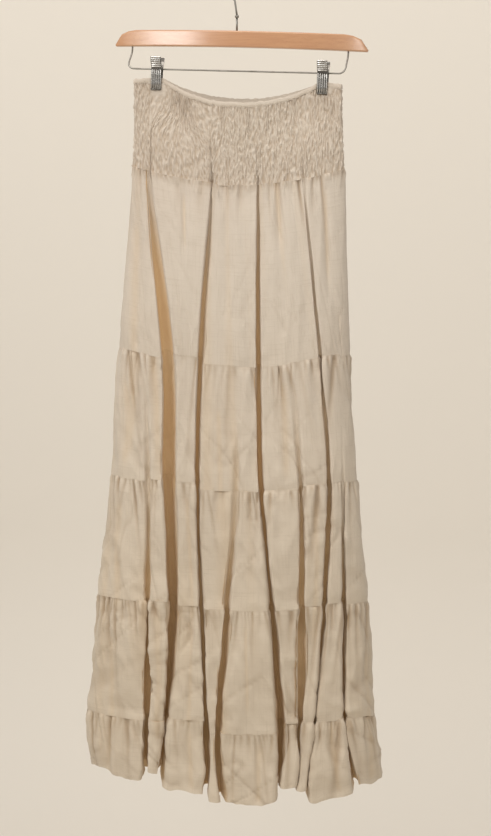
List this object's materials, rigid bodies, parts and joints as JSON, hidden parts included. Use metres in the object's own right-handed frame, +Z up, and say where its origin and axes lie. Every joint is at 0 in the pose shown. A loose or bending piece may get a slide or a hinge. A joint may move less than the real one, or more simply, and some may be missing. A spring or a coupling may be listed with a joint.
{
  "type": "gypsy skirt on a clip hanger",
  "caption": "Long tiered gypsy skirt with a smocked waist, hung by metal clips from a wooden hanger with a wire hook.",
  "frame": {"origin": "inside top of the hanger's hook, where it sits on a rail", "axes": "+Z up, X along the hanger, -Y out of the skirt's front"},
  "size_m": [0.4482, 0.1536, 1.2187],
  "materials": {
    "linen": "crumpled plain weave",
    "wood": "satin varnish",
    "wire_steel": "bright drawn",
    "clip_steel": "bright plated"
  },
  "bodies": {
    "root": {"waist_edge": "linen", "smocked_yoke": "linen", "tier_1": "linen", "tier_2": "linen", "tier_3": "linen", "tier_4": "linen", "tier_5": "linen", "hanger_bar": "wood", "hook": "wire_steel", "hook_collar": "wire_steel", "hook_stem": "wire_steel", "clip_rail": "wire_steel", "clip_left_front_jaw": "clip_steel", "clip_left_back_jaw": "clip_steel", "clip_left_spring": "clip_steel", "clip_right_front_jaw": "clip_steel", "clip_right_back_jaw": "clip_steel", "clip_right_spring": "clip_steel"}
  },
  "joints": []
}
